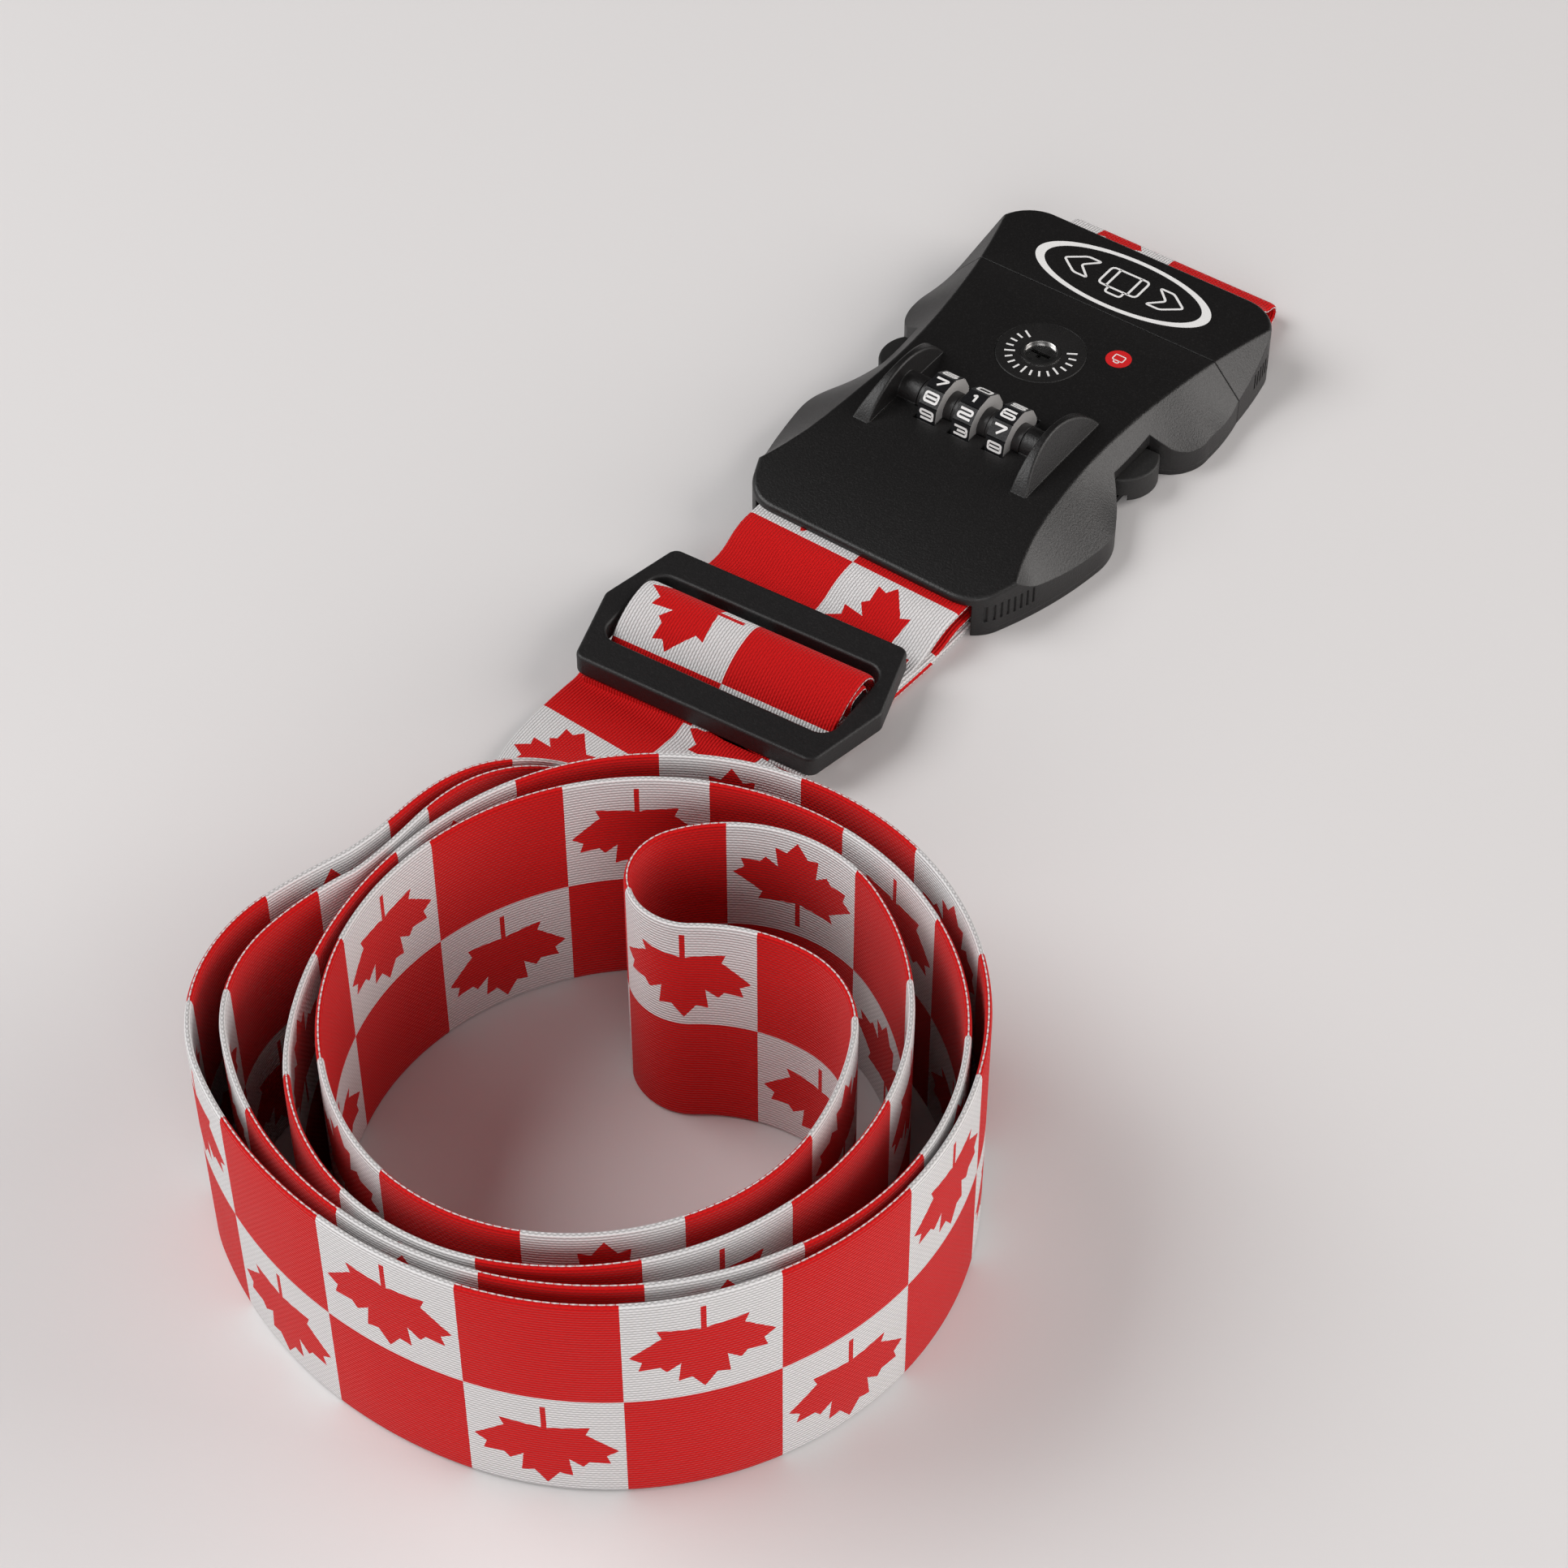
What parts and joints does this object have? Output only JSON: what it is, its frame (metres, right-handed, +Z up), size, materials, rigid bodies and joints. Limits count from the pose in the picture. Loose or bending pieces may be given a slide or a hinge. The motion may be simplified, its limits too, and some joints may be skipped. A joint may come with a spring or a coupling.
{
  "type": "luggage strap with combination lock buckle",
  "caption": "Patterned webbing luggage strap coiled on edge, with an adjuster slider and a side-release buckle holding a combination lock with key override.",
  "frame": {"origin": "on the floor plane under the middle of the closed buckle", "axes": "+Z up, +Y along the buckle from its webbing mouth to its rear end, +X to the buckle's right"},
  "size_m": [0.1504, 0.3246, 0.0502],
  "materials": {
    "buckle_plastic": "fine matte grain, black",
    "button_plastic": "matte black",
    "slider_plastic": "fine matte grain, black",
    "dial_plastic": "gloss black with white digits",
    "sleeve_plastic": "black",
    "keyhole_plate": "matte black with a ring of white tick marks",
    "key_chrome": "polished",
    "pin_steel": "drawn",
    "screw_steel": "machined",
    "spring_steel": "spring temper",
    "bolt_steel": "stamped",
    "webbing": "ribbed satin weave, red and white checks with a printed leaf"
  },
  "bodies": {
    "lock_body": {"lock_top_shell": "buckle_plastic", "lock_bottom_cover": "buckle_plastic", "front_strap_bar": "pin_steel", "lock_screws": "screw_steel", "dial_axle": "pin_steel", "detent_spring": "spring_steel", "keyhole_plate": "keyhole_plate", "bolt_spring": "spring_steel", "strap_coil": "webbing", "upper_twist": "webbing", "lower_twist": "webbing", "coil_side_run": "webbing", "adjuster_loop": "webbing", "upper_run": "webbing", "lower_run": "webbing"},
    "male_half": {"male_cover": "buckle_plastic", "male_base": "buckle_plastic", "rear_strap_bar": "pin_steel", "male_screws": "screw_steel", "rear_loop": "webbing"},
    "right_release": {"release_arm_right": "button_plastic"},
    "left_release": {"release_arm_left": "button_plastic"},
    "dial_one": {"number_dial_1": "dial_plastic", "dial_sleeve_1": "sleeve_plastic"},
    "dial_two": {"number_dial_2": "dial_plastic", "dial_sleeve_2": "sleeve_plastic"},
    "dial_three": {"number_dial_3": "dial_plastic", "dial_sleeve_3": "sleeve_plastic"},
    "key_core": {"key_cylinder": "key_chrome"},
    "bolt": {"lock_bolt": "bolt_steel"},
    "adjuster": {"slider_frame": "slider_plastic", "slider_webbing": "webbing", "sewn_tab": "webbing"}
  },
  "joints": [
    {"name": "buckle_release", "type": "slide", "parent": "lock_body", "child": "male_half", "axis": [0, 1, 0], "range_m": [0, 0.045], "deforming": ["release_arm_right", "release_arm_left"]},
    {"name": "right_button", "type": "hinge", "parent": "male_half", "child": "right_release", "pos_m": [0.0235, 0.038, 0.0051], "axis": [0, 0, 1], "range_deg": [-7, 0], "stiffness_Nm_per_rad": 0.3},
    {"name": "left_button", "type": "hinge", "parent": "male_half", "child": "left_release", "pos_m": [-0.0235, 0.038, 0.0051], "axis": [0, 0, 1], "range_deg": [0, 7], "stiffness_Nm_per_rad": 0.3},
    {"name": "dial_one_turn", "type": "hinge", "parent": "lock_body", "child": "dial_one", "pos_m": [-0.009, -0.011, 0.0132], "axis": [1, 0, 0], "continuous": true},
    {"name": "dial_two_turn", "type": "hinge", "parent": "lock_body", "child": "dial_two", "pos_m": [-0.0008, -0.011, 0.0132], "axis": [1, 0, 0], "continuous": true},
    {"name": "dial_three_turn", "type": "hinge", "parent": "lock_body", "child": "dial_three", "pos_m": [0.0074, -0.011, 0.0132], "axis": [1, 0, 0], "continuous": true},
    {"name": "key_turn", "type": "hinge", "parent": "lock_body", "child": "key_core", "pos_m": [-0.0015, 0.0135, 0.009], "axis": [0, 0, -1], "range_deg": [0, 90]},
    {"name": "bolt_slide", "type": "slide", "parent": "lock_body", "child": "bolt", "axis": [0, -1, 0], "range_m": [0, 0.003], "deforming": ["bolt_spring"]},
    {"name": "adjuster_slide", "type": "slide", "parent": "lock_body", "child": "adjuster", "axis": [0.0628, 0.998, 0], "range_m": [-0.003, 0.009], "deforming": ["upper_run", "coil_side_run"]}
  ],
  "couplings": [
    {"joint": "key_turn", "follows": "bolt_slide", "rad_per_m": 523.59}
  ]
}
